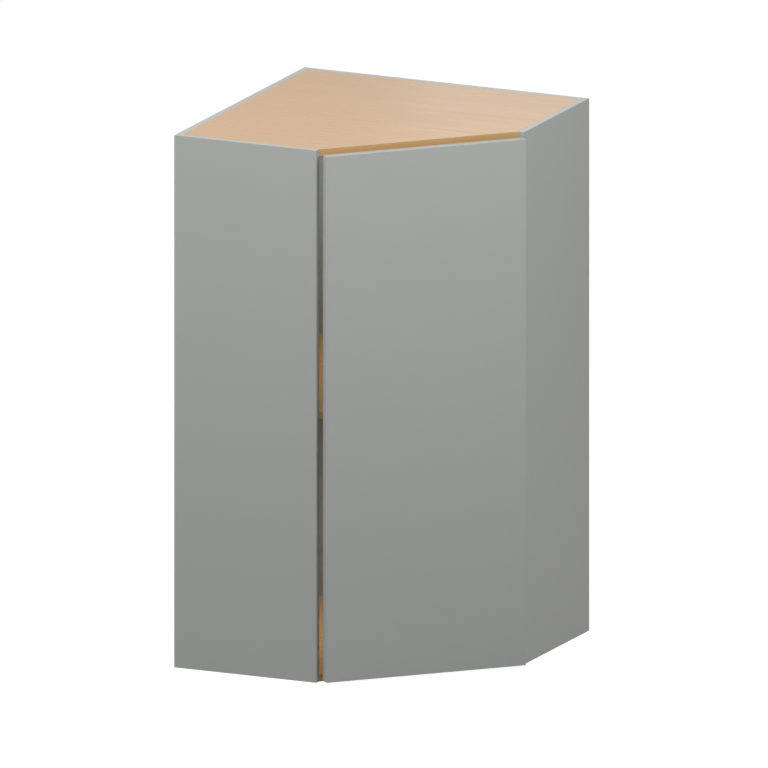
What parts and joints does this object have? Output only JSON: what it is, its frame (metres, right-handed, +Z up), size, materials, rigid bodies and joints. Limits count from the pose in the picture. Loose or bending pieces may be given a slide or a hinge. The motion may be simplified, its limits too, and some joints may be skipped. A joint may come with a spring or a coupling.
{
  "type": "corner wall cabinet",
  "caption": "Five-sided diagonal corner wall cabinet, frameless, with a slab door on concealed hinges and an adjustable shelf.",
  "frame": {"origin": "on the underside of the bottom panel, at the centre of the cabinet's square footprint", "axes": "+Z up; +Y towards the wall behind the right back panel; -X towards the wall behind the left back panel; the door faces +X -Y"},
  "size_m": [0.6222, 0.6169, 1.0668],
  "materials": {
    "case_paint": "matte grey-green paint on veneered board",
    "door_paint": "matte grey-green paint on fibreboard",
    "maple_board": "satin maple-look board",
    "beech": "bare beech",
    "nickel": "nickel plated",
    "zinc": "zinc plated"
  },
  "bodies": {
    "case": {"left_side_panel": "case_paint", "right_side_panel": "case_paint", "left_back_panel": "case_paint", "right_back_panel": "case_paint", "bottom_panel": "maple_board", "top_panel": "maple_board", "shelf": "maple_board", "bottom_left_dowel_1": "beech", "bottom_left_dowel_2": "beech", "bottom_right_dowel_1": "beech", "bottom_right_dowel_2": "beech", "top_left_dowel_1": "beech", "top_left_dowel_2": "beech", "top_right_dowel_1": "beech", "top_right_dowel_2": "beech", "shelf_peg_1": "nickel", "shelf_peg_2": "nickel", "shelf_peg_3": "nickel", "shelf_peg_4": "nickel", "shelf_peg_5": "nickel", "shelf_peg_6": "nickel", "lower_hinge_arm": "nickel", "lower_hinge_plate": "zinc", "lower_hinge_arm_screw": "zinc", "lower_hinge_adjusting_screw": "zinc", "lower_hinge_plate_screw_1": "zinc", "lower_hinge_plate_screw_2": "zinc", "middle_hinge_arm": "nickel", "middle_hinge_plate": "zinc", "middle_hinge_arm_screw": "zinc", "middle_hinge_adjusting_screw": "zinc", "middle_hinge_plate_screw_1": "zinc", "middle_hinge_plate_screw_2": "zinc", "upper_hinge_arm": "nickel", "upper_hinge_plate": "zinc", "upper_hinge_arm_screw": "zinc", "upper_hinge_adjusting_screw": "zinc", "upper_hinge_plate_screw_1": "zinc", "upper_hinge_plate_screw_2": "zinc"},
    "door": {"door_panel": "door_paint", "lower_hinge_cup": "nickel", "lower_hinge_pin": "zinc", "lower_hinge_cup_screw_1": "zinc", "lower_hinge_cup_screw_2": "zinc", "middle_hinge_cup": "nickel", "middle_hinge_pin": "zinc", "middle_hinge_cup_screw_1": "zinc", "middle_hinge_cup_screw_2": "zinc", "upper_hinge_cup": "nickel", "upper_hinge_pin": "zinc", "upper_hinge_cup_screw_1": "zinc", "upper_hinge_cup_screw_2": "zinc"}
  },
  "joints": [
    {"name": "door_hinge", "type": "hinge", "parent": "case", "child": "door", "pos_m": [0.30247, -0.01817, 0.53], "axis": [0, 0, 1], "range_deg": [0, 95]}
  ]
}
